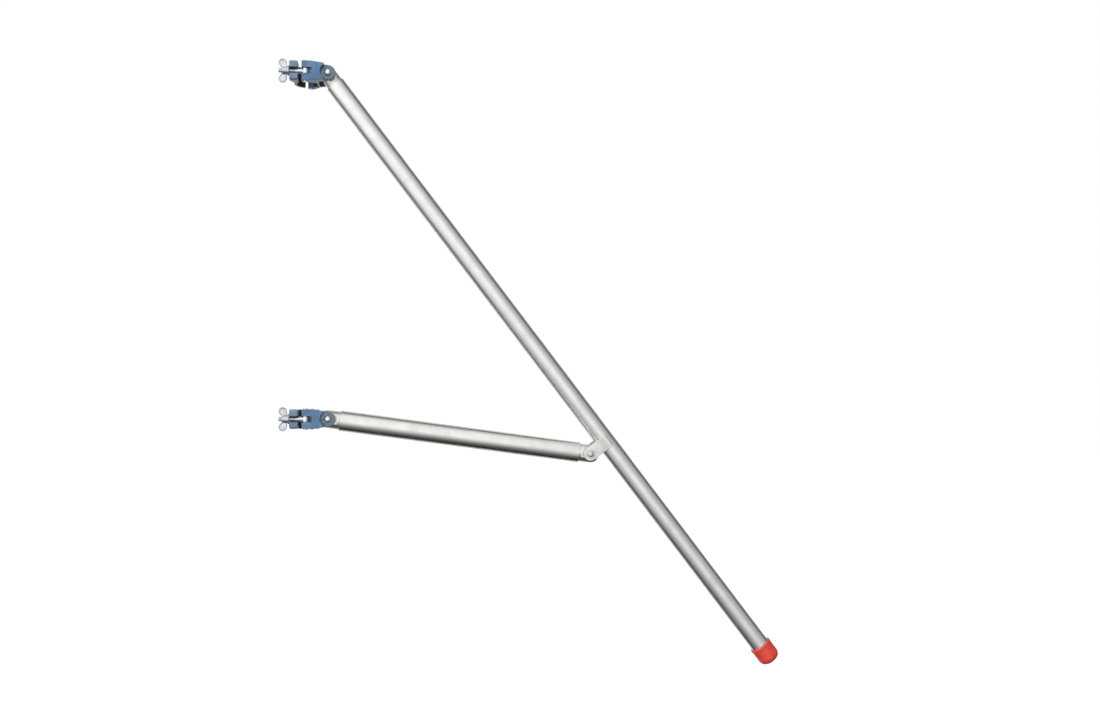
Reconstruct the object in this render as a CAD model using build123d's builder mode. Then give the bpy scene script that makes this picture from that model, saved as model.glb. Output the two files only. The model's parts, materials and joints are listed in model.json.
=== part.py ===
"""Tube stabilizer: a long leg and a brace, each hinged to a clamp that grips a vertical stile.

Frame: +Z up, +X from the stile towards the foot, +Y towards the back.
The origin is the centre of the upper clamp's bore. Lengths are in millimetres.
"""
from build123d import *
from math import cos, radians, sin, sqrt
import os

# --- linkage -----------------------------------------------------------------------------
LEG_LENGTH = 1855.0        # upper pivot to the sole of the foot
LEG_ANGLE = 52.6           # leg below horizontal, degrees
LEG_TO_EARS = 1143.0       # upper pivot to the ears, along the leg
EAR_OFFSET = 53.0          # brace pivot to the leg's axis
BRACE_LENGTH = 658.0       # lower pivot to the brace pivot
LEG_DIAMETER = 48.3
BRACE_DIAMETER = 50.8
TUBE_WALL = 3.2
LEG_TUBE_START = 27.0      # pivot to the tube's end
BRACE_TUBE_START = 28.0
BRACE_TUBE_END = 27.0      # brace pivot to the tube's end

# --- clamps ------------------------------------------------------------------------------
STILE_RADIUS = 25.4
CLAMP_HEIGHT = 48.0
CLAMP_WALL = 6.6
PIVOT_REACH = 52.0         # bore axis to the nose pivot
NOSE_RADIUS = 18.5
CHEEK_INNER = 22.3         # half the fork's gap
CHEEK_OUTER = 30.3
FORK_THROAT = 29.3         # bore axis to the bottom of the fork
FRONT_FACE = 46.0          # bore axis to the front of the bolt lugs
LUG_LEFT = -10.5           # left face of the saddle's bolt lugs
LUG_RIGHT = 43.0
LUG_CORNER = 3.0
TAPER_START = 15.0
THROAT_CORNER = 2.0
EDGE_ROUND = 1.2           # cast edges
CUT_MARGIN = 1.0           # cutting tools reach this far past the metal
SPOTFACE_RADIUS = 18.8
HINGE_X = 7.0
HINGE_Y = 35.0
KNUCKLE_RADIUS = 8.5
KNUCKLE_HALF = 8.0         # half height of the flap's knuckle
KNUCKLE_GAP = 0.3
KNUCKLE_CLEARANCE = 0.8    # round the flap's knuckle, in the saddle
KNUCKLE_ROOT_RADIUS = 4.9  # where the saddle's knuckles join its shell
KNUCKLE_ROOT_X = 4.0
KNUCKLE_ROOT_Y = 5.0
HINGE_PIN_RADIUS = 3.5
FLAP_LEFT = -41.0          # nut seat
FLAP_RIGHT = -19.0
FLAP_START_ANGLE = 105.0   # the flap's full-height shell ends here, from +X
FLAP_MIDDLE_ANGLE = 150.0
FLAP_JOIN_ANGLE = 198.0    # and starts here, behind the prongs
FLAP_ROOT_RADIUS = 3.2     # where the flap's knuckle joins its shell
FLAP_ROOT_INSET = 1.0
PRONG_DEPTH = 10.0         # bolt axis to the back of the prongs
PRONG_CORNER = 5.0
PRONG_FRONT_ROUND = 2.5
PRONG_BACK_ROUND = 4.0
SLOT_DEPTH = 7.5           # bolt axis to the bottom of the flap's slot
SADDLE_END_ANGLE = 60.0
PIN_HEAD_HEIGHT = 2.0      # rivet-style pin heads
PIN_HEAD_MARGIN = 2.0
PIN_HEAD_ROUND = 1.4

# --- swing bolt and wing nut -------------------------------------------------------------
EYE_X = -1.5
BOLT_Y = -36.0
EYE_RADIUS = 8.0
EYE_HEIGHT = 14.0
EYE_PIN_RADIUS = 4.0
BOLT_RADIUS = 5.9
BOLT_LENGTH = 64.5         # eye pin to the bolt's tip
SLOT_HALF = 8.0            # half height of the bolt slots
SLOT_END = 14.5
EYE_CHAMFER = 1.0
TIP_CHAMFER = 1.2
SEAT_WASHER_RADIUS = 12.5
SEAT_WASHER_THICKNESS = 2.5
SEAT_WASHER_BORE_GAP = 0.6
SEAT_GAP = 0.1
SMALL_CHAMFER = 0.5
NUT_HUB_RADIUS = 10.5
NUT_TIP_RADIUS = 8.5
NUT_LENGTH = 14.0
WING_RADIUS = 10.0
WING_CENTRE = 19.5         # bolt axis to the middle of a wing
WING_SHIFT = 13.0          # washer face to the middle of a wing
WING_THICKNESS = 4.6
WING_ROOT_RADIUS = 6.0

# --- pivots ------------------------------------------------------------------------------
PIVOT_RADIUS = 6.0
RUNNING_GAP = 0.05
PIVOT_HEAD_RADIUS = 8.0
PIVOT_HEAD_HEIGHT = 5.5
HEAD_RIM = 1.0             # straight stretch under the domed head
HEAD_FLAT_RADIUS = 2.8
HEAD_SHOULDER_RADIUS = 6.6
HEAD_SHOULDER_DROP = 1.8
PIVOT_TIP_CHAMFER = 1.5
CLAMP_WASHER_RADIUS = 17.8
EAR_WASHER_RADIUS = 13.0
PIVOT_WASHER_THICKNESS = 2.0
PIVOT_NUT_FLATS = 19.0
PIVOT_NUT_HEIGHT = 10.0
NUT_COLLAR_HEIGHT = 3.0    # round collar over the nut's locking ring
NUT_COLLAR_INSET = 0.8
PIVOT_TIP = 45.0
FLAT_HALF = 19.5           # half the end fittings' width across flats
FITTING_DEPTH = 55.0       # fitting inside the tube
FITTING_HOLLOW = 14.0
FITTING_SOLID = 22.0       # solid stretch behind the pivot
FITTING_FLOOR = 10.0       # solid metal past that stretch
FITTING_ROUND = 1.0
TUBE_ROUND = 0.6
SPACER_RADIUS = 14.0
SPACER_GAP = 0.2
RIVET_RADIUS = 3.0
RIVET_HEAD_RADIUS = 5.0
RIVET_HEAD_HEIGHT = 1.6
RIVET_SPACING = 24.0
RIVET_DEPTH = 4.0          # rivet inside the fitting's wall
RIVET_TAPER = 25.0

# --- ears and foot -----------------------------------------------------------------------
EAR_HALF_WIDTH = 17.0
EAR_THICKNESS = 6.0
EAR_OVERLAP = 4.0          # ear beyond the leg's axis
EAR_CORNER = 3.0
EAR_ROUND = 0.8
WELD_RADIUS = 3.4
WELD_INSET = 2.0           # bead's end to the ear's edge
CAP_LENGTH = 52.0
CAP_SOLE = 10.0
CAP_RADIUS = 28.0
CAP_RIM_RADIUS = 29.0
CAP_RIM_LENGTH = 7.0
CAP_CORNER = 18.0
CAP_RIM_ROUND = 0.8
DISC_THICKNESS = 3.0
DISC_GAP = 0.2

leg_radius = LEG_DIAMETER / 2
brace_radius = BRACE_DIAMETER / 2
ear_inner = leg_radius + RUNNING_GAP
ear_outer = ear_inner + EAR_THICKNESS

# --- where the pivots are ----------------------------------------------------------------
leg_along = Vector(cos(radians(LEG_ANGLE)), 0, -sin(radians(LEG_ANGLE)))
leg_across = Vector(sin(radians(LEG_ANGLE)), 0, cos(radians(LEG_ANGLE)))
upper_pivot = Vector(PIVOT_REACH, 0, 0)
ear_pivot = upper_pivot + leg_along * LEG_TO_EARS - leg_across * EAR_OFFSET
brace_rise = sqrt(BRACE_LENGTH**2 - (ear_pivot.X - PIVOT_REACH) ** 2)
lower_pivot = Vector(PIVOT_REACH, 0, ear_pivot.Z + brace_rise)
brace_along = (ear_pivot - lower_pivot).normalized()
TO_FRONT = Vector(0, -1, 0)
TINY = 0.01                # tolerance for choosing edges and vertices

os.makedirs("parts", exist_ok=True)


def side_plane(pivot, along, depth=0.0):
    """The plane seen from the front: x runs along a tube from its pivot; depth is towards the front."""
    return Plane(origin=pivot + TO_FRONT * depth, x_dir=along, z_dir=TO_FRONT)


def cross_plane(pivot, along, distance):
    """The plane square to a tube, at a distance from its pivot."""
    return Plane(origin=pivot + along * distance, x_dir=(0, 1, 0), z_dir=along)


# =========================================================================================
# Clamps
# =========================================================================================
def make_saddle(name, height):
    """The half of the clamp that carries the fork, the bolt lugs and two hinge knuckles."""
    bottom = Plane.XY.offset(height - CLAMP_HEIGHT / 2)
    front = Plane(origin=(0, 0, height), x_dir=(1, 0, 0), z_dir=TO_FRONT)
    nose_end = PIVOT_REACH + NOSE_RADIUS
    end_x = CHEEK_OUTER / sin(radians(SADDLE_END_ANGLE)) * cos(radians(SADDLE_END_ANGLE))
    with BuildPart() as saddle:
        with BuildSketch(bottom) as plan:
            with BuildLine():
                Polyline(
                    (LUG_LEFT, -FRONT_FACE),
                    (LUG_RIGHT, -FRONT_FACE),
                    (LUG_RIGHT, -CHEEK_OUTER),
                    (nose_end, -CHEEK_OUTER),
                    (nose_end, -CHEEK_INNER),
                    (FORK_THROAT, -CHEEK_INNER),
                    (FORK_THROAT, CHEEK_INNER),
                    (nose_end, CHEEK_INNER),
                    (nose_end, CHEEK_OUTER),
                    (end_x, CHEEK_OUTER),
                    (0, 0),
                    (LUG_LEFT, LUG_LEFT),
                    close=True,
                )
            make_face()
            lug_corners = plan.vertices().filter_by(lambda v: abs(v.Y + FRONT_FACE) < TINY)
            fillet(lug_corners, LUG_CORNER)
            throat_corners = plan.vertices().filter_by(lambda v: abs(v.X - FORK_THROAT) < TINY)
            fillet(throat_corners, THROAT_CORNER)
        extrude(amount=CLAMP_HEIGHT)
        with BuildSketch(front):
            with Locations((PIVOT_REACH, 0)):
                Circle(NOSE_RADIUS)
            with Locations((TAPER_START - CLAMP_HEIGHT / 2, 0)):
                RectangleRounded(CLAMP_HEIGHT, CLAMP_HEIGHT, LUG_CORNER)
            make_hull()
        extrude(amount=FRONT_FACE + CUT_MARGIN, both=True, mode=Mode.INTERSECT)
        side_faces = (-FRONT_FACE, -CHEEK_OUTER, -CHEEK_INNER, CHEEK_INNER, CHEEK_OUTER)
        cast_edges = saddle.edges().filter_by(lambda e: min(abs(e.center().Y - y) for y in side_faces) < TINY)
        fillet(cast_edges, EDGE_ROUND)
        with BuildSketch(bottom):
            with Locations((HINGE_X, HINGE_Y)):
                Circle(KNUCKLE_RADIUS)
            with Locations((end_x + KNUCKLE_ROOT_X, CHEEK_OUTER - KNUCKLE_ROOT_Y)):
                Circle(KNUCKLE_ROOT_RADIUS)
            make_hull()
        extrude(amount=CLAMP_HEIGHT)
        middle = bottom.offset(CLAMP_HEIGHT / 2 - KNUCKLE_HALF - KNUCKLE_GAP)
        with BuildSketch(middle):
            with Locations((HINGE_X, HINGE_Y)):
                Circle(KNUCKLE_RADIUS + KNUCKLE_CLEARANCE)
        extrude(amount=2 * (KNUCKLE_HALF + KNUCKLE_GAP), mode=Mode.SUBTRACT)
        with BuildSketch(bottom):
            Circle(STILE_RADIUS)
            with Locations((HINGE_X, HINGE_Y)):
                Circle(HINGE_PIN_RADIUS + RUNNING_GAP)
            with Locations((EYE_X, BOLT_Y)):
                Circle(EYE_PIN_RADIUS + RUNNING_GAP)
        extrude(amount=CLAMP_HEIGHT, mode=Mode.SUBTRACT)
        with BuildSketch(bottom.offset(CLAMP_HEIGHT / 2 - SLOT_HALF)):
            with Locations((LUG_LEFT - CUT_MARGIN, -FRONT_FACE - CUT_MARGIN)):
                Rectangle(SLOT_END - LUG_LEFT + CUT_MARGIN, FRONT_FACE, align=(Align.MIN, Align.MIN))
        extrude(amount=2 * SLOT_HALF, mode=Mode.SUBTRACT)
        with BuildSketch(front.offset(CHEEK_OUTER)):
            with Locations((PIVOT_REACH, 0)):
                Circle(SPOTFACE_RADIUS)
        extrude(amount=FRONT_FACE, mode=Mode.SUBTRACT)
        with BuildSketch(front):
            with Locations((PIVOT_REACH, 0)):
                Circle(PIVOT_RADIUS + RUNNING_GAP)
        extrude(amount=FRONT_FACE, both=True, mode=Mode.SUBTRACT)
    saddle.part.label = f"{name}_saddle"
    export_step(saddle.part, f"parts/{name}_saddle.step")


def make_flap(name, height):
    """The hinged half of the clamp: a shell around the stile with two prongs beside the bolt."""
    bottom = Plane.XY.offset(height - CLAMP_HEIGHT / 2)
    shell_radius = STILE_RADIUS + CLAMP_WALL
    seat_radius = EYE_X - FLAP_LEFT
    low_y = -FRONT_FACE - CUT_MARGIN
    high_y = BOLT_Y + PRONG_DEPTH
    low_x = EYE_X - sqrt(seat_radius**2 - (low_y - BOLT_Y) ** 2)
    high_x = EYE_X - sqrt(seat_radius**2 - (high_y - BOLT_Y) ** 2)
    shell_join = Vector(shell_radius, 0).rotate(Axis.Z, FLAP_JOIN_ANGLE)
    shell_end = Vector(shell_radius, 0).rotate(Axis.Z, FLAP_START_ANGLE)
    shell_mid = Vector(shell_radius, 0).rotate(Axis.Z, FLAP_MIDDLE_ANGLE)
    root_x = shell_end.X - FLAP_ROOT_INSET
    root_y = shell_end.Y - FLAP_ROOT_RADIUS - RUNNING_GAP
    with BuildPart() as flap:
        with BuildSketch(bottom) as plan:
            with BuildLine():
                Line((FLAP_RIGHT, low_y), (low_x, low_y))
                ThreePointArc((low_x, low_y), (FLAP_LEFT, BOLT_Y), (high_x, high_y))
                Line((high_x, high_y), (shell_join.X, shell_join.Y))
                ThreePointArc(
                    (shell_join.X, shell_join.Y), (shell_mid.X, shell_mid.Y), (shell_end.X, shell_end.Y)
                )
                Polyline((shell_end.X, shell_end.Y), (0, 0), (FLAP_RIGHT, -PRONG_DEPTH), (FLAP_RIGHT, low_y))
            make_face()
            fillet(plan.vertices().filter_by(lambda v: abs(v.Y - low_y) < TINY), PRONG_FRONT_ROUND)
            fillet(plan.vertices().filter_by(lambda v: abs(v.Y - high_y) < TINY), PRONG_BACK_ROUND)
        extrude(amount=CLAMP_HEIGHT)
        front_edges = flap.edges().filter_by(Axis.X).filter_by(lambda e: abs(e.center().Y - low_y) < TINY)
        fillet(front_edges, PRONG_CORNER)
        shell_edges = flap.edges().filter_by(GeomType.CIRCLE).filter_by(
            lambda e: abs(e.radius - shell_radius) < TINY
        )
        fillet(shell_edges, EDGE_ROUND)
        with BuildSketch(bottom.offset(CLAMP_HEIGHT / 2 - KNUCKLE_HALF)):
            with Locations((HINGE_X, HINGE_Y)):
                Circle(KNUCKLE_RADIUS)
            with Locations((root_x, root_y)):
                Circle(FLAP_ROOT_RADIUS)
            make_hull()
        extrude(amount=2 * KNUCKLE_HALF)
        with BuildSketch(bottom):
            Circle(STILE_RADIUS)
            with Locations((HINGE_X, HINGE_Y)):
                Circle(HINGE_PIN_RADIUS + RUNNING_GAP)
        extrude(amount=CLAMP_HEIGHT, mode=Mode.SUBTRACT)
        with BuildSketch(bottom.offset(CLAMP_HEIGHT / 2 - SLOT_HALF)):
            with Locations((FLAP_LEFT - CUT_MARGIN, low_y - CUT_MARGIN)):
                Rectangle(
                    FLAP_RIGHT - FLAP_LEFT + 2 * CUT_MARGIN,
                    BOLT_Y + SLOT_DEPTH - low_y,
                    align=(Align.MIN, Align.MIN),
                )
        extrude(amount=2 * SLOT_HALF, mode=Mode.SUBTRACT)
    flap.part.label = f"{name}_flap"
    export_step(flap.part, f"parts/{name}_flap.step")


def make_clamp_pin(label, centre, radius, height):
    """A pin along Z through the whole clamp, with a low head at each end."""
    half = CLAMP_HEIGHT / 2
    section = Plane(origin=(centre[0], centre[1], height), x_dir=(1, 0, 0), z_dir=TO_FRONT)
    with BuildPart() as pin:
        with BuildSketch(section) as profile:
            Rectangle(radius, CLAMP_HEIGHT, align=(Align.MIN, Align.CENTER))
            with Locations((0, half), (0, -half - PIN_HEAD_HEIGHT)):
                Rectangle(radius + PIN_HEAD_MARGIN, PIN_HEAD_HEIGHT, align=(Align.MIN, Align.MIN))
            rims = profile.vertices().filter_by(lambda v: abs(v.Y) > half + TINY and v.X > radius)
            fillet(rims, PIN_HEAD_ROUND)
        revolve(axis=Axis(section.origin, (0, 0, 1)))
    pin.part.label = label
    export_step(pin.part, f"parts/{label}.step")


def make_eye_bolt(name, height):
    """The swing bolt: an eye around its pin and a shank that lies across the front of the stile."""
    middle = Plane.XY.offset(height)
    eye = (EYE_X, BOLT_Y)
    shank_start = Plane(origin=(EYE_X, BOLT_Y, height), x_dir=(0, 1, 0), z_dir=(-1, 0, 0))
    with BuildPart() as eye_bolt:
        with BuildSketch(middle):
            with Locations(eye):
                Circle(EYE_RADIUS)
        extrude(amount=EYE_HEIGHT / 2, both=True)
        chamfer(eye_bolt.edges().filter_by(GeomType.CIRCLE), EYE_CHAMFER)
        with BuildSketch(shank_start):
            Circle(BOLT_RADIUS)
        extrude(amount=BOLT_LENGTH)
        chamfer(eye_bolt.edges().filter_by(GeomType.CIRCLE).sort_by(Axis.X)[0], TIP_CHAMFER)
        with BuildSketch(middle):
            with Locations(eye):
                Circle(EYE_PIN_RADIUS + RUNNING_GAP)
        extrude(amount=EYE_HEIGHT, both=True, mode=Mode.SUBTRACT)
    eye_bolt.part.label = f"{name}_eye_bolt"
    export_step(eye_bolt.part, f"parts/{name}_eye_bolt.step")


def make_nut_parts(name, height):
    """The washer on the prongs and the wing nut behind it, both around the swing bolt."""
    seat_x = FLAP_LEFT - SEAT_GAP
    nut_x = seat_x - SEAT_WASHER_THICKNESS
    washer_face = Plane(origin=(seat_x, BOLT_Y, height), x_dir=(0, 1, 0), z_dir=(-1, 0, 0))
    nut_face = Plane(origin=(nut_x, BOLT_Y, height), x_dir=(0, 1, 0), z_dir=(-1, 0, 0))
    wing_view = Plane(origin=(nut_x, BOLT_Y, height), x_dir=(1, 0, 0), z_dir=TO_FRONT)
    with BuildPart() as seat_washer:
        with BuildSketch(washer_face):
            Circle(SEAT_WASHER_RADIUS)
            Circle(BOLT_RADIUS + SEAT_WASHER_BORE_GAP, mode=Mode.SUBTRACT)
        extrude(amount=SEAT_WASHER_THICKNESS)
        chamfer(seat_washer.edges().sort_by(SortBy.LENGTH)[-2:], SMALL_CHAMFER)
    seat_washer.part.label = f"{name}_seat_washer"
    export_step(seat_washer.part, f"parts/{name}_seat_washer.step")

    with BuildPart() as wing_nut:
        with BuildSketch(nut_face):
            Circle(NUT_HUB_RADIUS)
        with BuildSketch(nut_face.offset(NUT_LENGTH)):
            Circle(NUT_TIP_RADIUS)
        loft()
        for side in (1, -1):
            with BuildSketch(wing_view):
                with Locations((-WING_SHIFT, WING_CENTRE * side)):
                    Circle(WING_RADIUS)
                with Locations((-NUT_LENGTH / 2, 0)):
                    Circle(WING_ROOT_RADIUS)
                make_hull()
            extrude(amount=WING_THICKNESS / 2, both=True)
        with BuildSketch(nut_face):
            Circle(BOLT_RADIUS + RUNNING_GAP)
        extrude(amount=NUT_LENGTH + WING_RADIUS, both=True, mode=Mode.SUBTRACT)
    wing_nut.part.label = f"{name}_wing_nut"
    export_step(wing_nut.part, f"parts/{name}_wing_nut.step")


# =========================================================================================
# Pivots: a bolt from the front, a washer under each end and a lock nut at the back
# =========================================================================================
def make_pivot_set(name, pivot, outer, washer_radius):
    """The bolt, its two washers and its nut; outer is the clamped faces' distance from y = 0."""
    axis_section = Plane(origin=pivot, x_dir=(1, 0, 0), z_dir=(0, 0, 1))
    under_head = -outer - PIVOT_WASHER_THICKNESS
    head_top = under_head - PIVOT_HEAD_HEIGHT
    with BuildPart() as pivot_bolt:
        with BuildSketch(axis_section):
            with BuildLine():
                Line((0, head_top), (HEAD_FLAT_RADIUS, head_top))
                ThreePointArc(
                    (HEAD_FLAT_RADIUS, head_top),
                    (HEAD_SHOULDER_RADIUS, head_top + HEAD_SHOULDER_DROP),
                    (PIVOT_HEAD_RADIUS, under_head - HEAD_RIM),
                )
                Polyline(
                    (PIVOT_HEAD_RADIUS, under_head - HEAD_RIM),
                    (PIVOT_HEAD_RADIUS, under_head),
                    (PIVOT_RADIUS, under_head),
                    (PIVOT_RADIUS, PIVOT_TIP - PIVOT_TIP_CHAMFER),
                    (PIVOT_RADIUS - PIVOT_TIP_CHAMFER, PIVOT_TIP),
                    (0, PIVOT_TIP),
                    (0, head_top),
                )
            make_face()
        revolve(axis=Axis(pivot, (0, 1, 0)))
    pivot_bolt.part.label = f"{name}_bolt"
    export_step(pivot_bolt.part, f"parts/{name}_bolt.step")

    with BuildPart() as pivot_washers:
        for side in (1, -1):
            face = Plane(origin=pivot + TO_FRONT * outer * side, x_dir=(1, 0, 0), z_dir=TO_FRONT * side)
            with BuildSketch(face):
                Circle(washer_radius)
                Circle(PIVOT_RADIUS + RUNNING_GAP, mode=Mode.SUBTRACT)
            extrude(amount=PIVOT_WASHER_THICKNESS)
    pivot_washers.part.label = f"{name}_washers"
    export_step(pivot_washers.part, f"parts/{name}_washers.step")

    nut_seat = outer + PIVOT_WASHER_THICKNESS
    back = Plane(origin=pivot - TO_FRONT * nut_seat, x_dir=(1, 0, 0), z_dir=(0, 1, 0))
    with BuildPart() as pivot_nut:
        with BuildSketch(back):
            RegularPolygon(PIVOT_NUT_FLATS / 2, 6, major_radius=False)
        extrude(amount=PIVOT_NUT_HEIGHT - NUT_COLLAR_HEIGHT)
        with BuildSketch(back):
            Circle(PIVOT_NUT_FLATS / 2 - NUT_COLLAR_INSET)
        extrude(amount=PIVOT_NUT_HEIGHT)
        with BuildSketch(back):
            Circle(PIVOT_RADIUS + RUNNING_GAP)
        extrude(amount=PIVOT_NUT_HEIGHT, mode=Mode.SUBTRACT)
    pivot_nut.part.label = f"{name}_nut"
    export_step(pivot_nut.part, f"parts/{name}_nut.step")


def make_spacers(label, pivot, inner):
    """Two plain washers that centre an end fitting between a fork's or the ears' inner faces."""
    with BuildPart() as spacers:
        for side in (1, -1):
            face = Plane(origin=pivot + TO_FRONT * FLAT_HALF * side, x_dir=(1, 0, 0), z_dir=TO_FRONT * side)
            with BuildSketch(face):
                Circle(SPACER_RADIUS)
                Circle(PIVOT_RADIUS + RUNNING_GAP, mode=Mode.SUBTRACT)
            extrude(amount=inner - SPACER_GAP - FLAT_HALF)
    spacers.part.label = label
    export_step(spacers.part, f"parts/{label}.step")


# =========================================================================================
# Tubes and their end fittings
# =========================================================================================
def make_tube(label, pivot, along, start, end, radius, riveted_ends):
    """A round tube between two distances from a pivot, with holes for its rivets."""
    with BuildPart() as tube:
        with BuildSketch(cross_plane(pivot, along, start)):
            Circle(radius)
            Circle(radius - TUBE_WALL, mode=Mode.SUBTRACT)
        extrude(amount=end - start)
        rims = tube.edges().filter_by(GeomType.CIRCLE).filter_by(lambda e: abs(e.radius - radius) < TINY)
        chamfer(rims, TUBE_ROUND)
        for riveted_end in riveted_ends:
            for hole in rivet_planes(*riveted_end, 0):
                with BuildSketch(hole):
                    Circle(RIVET_RADIUS)
                extrude(amount=radius + CUT_MARGIN, mode=Mode.SUBTRACT)
    tube.part.label = label
    export_step(tube.part, f"parts/{label}.step")


def make_fitting(label, pivot, along, tube_start, radius):
    """A turned plug in the tube's end whose rounded, flat-sided head turns on the pivot."""
    depth = tube_start + FITTING_DEPTH
    with BuildPart() as fitting:
        with BuildSketch(cross_plane(pivot, along, -radius)):
            Circle(radius)
        extrude(amount=radius + depth)
        with BuildSketch(side_plane(pivot, along)):
            Circle(radius)
            Rectangle(depth, 2 * radius, align=(Align.MIN, Align.CENTER))
        extrude(amount=radius, both=True, mode=Mode.INTERSECT)
        for side in (1, -1):
            with BuildSketch(side_plane(pivot, along, FLAT_HALF * side)):
                with Locations((-radius, 0)):
                    Rectangle(radius + FITTING_SOLID, 2 * radius, align=(Align.MIN, Align.CENTER))
            extrude(amount=radius * side, mode=Mode.SUBTRACT)
        head_edges = fitting.edges().filter_by(lambda e: abs(abs(e.center().Y) - FLAT_HALF) < TINY)
        chamfer(head_edges.filter_by(GeomType.CIRCLE), FITTING_ROUND)
        with BuildSketch(cross_plane(pivot, along, FITTING_SOLID + FITTING_FLOOR)):
            Circle(FITTING_HOLLOW)
        extrude(amount=depth, mode=Mode.SUBTRACT)
        with BuildSketch(side_plane(pivot, along)):
            Circle(PIVOT_RADIUS + RUNNING_GAP)
        extrude(amount=radius, both=True, mode=Mode.SUBTRACT)
        for hole in rivet_planes(pivot, along, tube_start, 0):
            with BuildSketch(hole):
                Circle(RIVET_RADIUS)
            extrude(amount=radius, mode=Mode.SUBTRACT)
    fitting.part.label = label
    export_step(fitting.part, f"parts/{label}.step")


def rivet_planes(pivot, along, tube_start, radius):
    """Planes facing the back, one for each of a fitting's two rivets, at a radius from the tube's axis."""
    first = tube_start + (FITTING_DEPTH - RIVET_SPACING) / 2
    distances = (first, first + RIVET_SPACING)
    return [
        Plane(origin=pivot + along * d - TO_FRONT * radius, x_dir=along, z_dir=(0, 1, 0)) for d in distances
    ]


def make_rivets(label, ends, radius):
    """Blind rivets that hold the end fittings in a tube, at the back; ends lists pivot, along, start."""
    with BuildPart() as rivets:
        for pivot, along, tube_start in ends:
            for face in rivet_planes(pivot, along, tube_start, radius):
                with BuildSketch(face.offset(-TUBE_WALL - RIVET_DEPTH)):
                    Circle(RIVET_RADIUS)
                extrude(amount=TUBE_WALL + RIVET_DEPTH + RIVET_HEAD_HEIGHT)
                with BuildSketch(face):
                    Circle(RIVET_HEAD_RADIUS)
                extrude(amount=RIVET_HEAD_HEIGHT, taper=RIVET_TAPER)
    rivets.part.label = label
    export_step(rivets.part, f"parts/{label}.step")


# =========================================================================================
# Ears, welds and foot
# =========================================================================================
def ear_plane(depth):
    """Seen from the front with its origin at the brace pivot; x runs down the leg."""
    return side_plane(ear_pivot, leg_along, depth)


def make_ear(label, side):
    """A plate welded across the leg, rounded about the brace pivot; side is 1 in front, -1 behind."""
    with BuildPart() as ear:
        with BuildSketch(ear_plane(ear_inner * side)) as outline:
            Circle(EAR_HALF_WIDTH)
            Rectangle(2 * EAR_HALF_WIDTH, EAR_OFFSET + EAR_OVERLAP, align=(Align.CENTER, Align.MIN))
            far_corners = outline.vertices().group_by(SortBy.DISTANCE)[-1]
            fillet(far_corners, EAR_CORNER)
        extrude(amount=EAR_THICKNESS * side)
        outer_face = ear.faces().sort_by(Axis.Y)[0 if side > 0 else -1]
        fillet(outer_face.edges(), EAR_ROUND)
        with BuildSketch(ear_plane(ear_inner * side)):
            Circle(PIVOT_RADIUS + RUNNING_GAP)
        extrude(amount=EAR_THICKNESS * side, mode=Mode.SUBTRACT)
    ear.part.label = label
    export_step(ear.part, f"parts/{label}.step")


def make_welds():
    """Fillet welds along the ears' ends, between each plate's edge and the leg."""
    weld_line = EAR_OFFSET + EAR_OVERLAP
    with BuildPart() as welds:
        for side in (1, -1):
            start = side_plane(ear_pivot, leg_along, ear_inner * side)
            origin = start.origin - leg_along * (EAR_HALF_WIDTH - WELD_INSET) + leg_across * weld_line
            with BuildSketch(Plane(origin=origin, x_dir=TO_FRONT * side, z_dir=leg_along)):
                Circle(WELD_RADIUS)
            extrude(amount=2 * (EAR_HALF_WIDTH - WELD_INSET))
        with BuildSketch(cross_plane(upper_pivot, leg_along, LEG_TO_EARS - EAR_HALF_WIDTH)):
            Circle(leg_radius)
        extrude(amount=2 * EAR_HALF_WIDTH, mode=Mode.SUBTRACT)
        for side in (1, -1):
            with BuildSketch(ear_plane(ear_inner * side)):
                Rectangle(3 * EAR_HALF_WIDTH, weld_line, align=(Align.CENTER, Align.MIN))
            extrude(amount=EAR_THICKNESS * side, mode=Mode.SUBTRACT)
            with BuildSketch(ear_plane(leg_radius * side)):
                Rectangle(3 * EAR_HALF_WIDTH, weld_line, align=(Align.CENTER, Align.MIN))
            extrude(amount=2 * RUNNING_GAP * side, mode=Mode.SUBTRACT)
    welds.part.label = "ear_welds"
    export_step(welds.part, "parts/ear_welds.step")


def make_foot():
    """The rubber cap over the leg's end and the steel disc that keeps the tube from cutting it."""
    rim = LEG_LENGTH - CAP_LENGTH
    tube_end = LEG_LENGTH - CAP_SOLE - DISC_THICKNESS
    section = side_plane(upper_pivot, leg_along)
    leg_axis = Axis(upper_pivot, leg_along)
    with BuildPart() as foot_cap:
        with BuildSketch(section) as profile:
            with BuildLine():
                Polyline(
                    (rim, leg_radius),
                    (rim, CAP_RIM_RADIUS),
                    (rim + CAP_RIM_LENGTH, CAP_RIM_RADIUS),
                    (rim + CAP_RIM_LENGTH, CAP_RADIUS),
                    (LEG_LENGTH, CAP_RADIUS),
                    (LEG_LENGTH, 0),
                    (LEG_LENGTH - CAP_SOLE, 0),
                    (LEG_LENGTH - CAP_SOLE, leg_radius),
                    close=True,
                )
            make_face()
            outer = profile.vertices().sort_by(SortBy.DISTANCE)[-1]
            fillet(outer, CAP_CORNER)
        revolve(axis=leg_axis)
        rim_edges = foot_cap.edges().filter_by(GeomType.CIRCLE).filter_by(
            lambda e: abs(e.radius - CAP_RIM_RADIUS) < TINY
        )
        fillet(rim_edges, CAP_RIM_ROUND)
    foot_cap.part.label = "foot_cap"
    export_step(foot_cap.part, "parts/foot_cap.step")

    with BuildPart() as foot_disc:
        with BuildSketch(cross_plane(upper_pivot, leg_along, tube_end)):
            Circle(leg_radius - DISC_GAP)
        extrude(amount=DISC_THICKNESS)
        chamfer(foot_disc.edges(), SMALL_CHAMFER)
    foot_disc.part.label = "foot_disc"
    export_step(foot_disc.part, "parts/foot_disc.step")
    return tube_end


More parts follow.
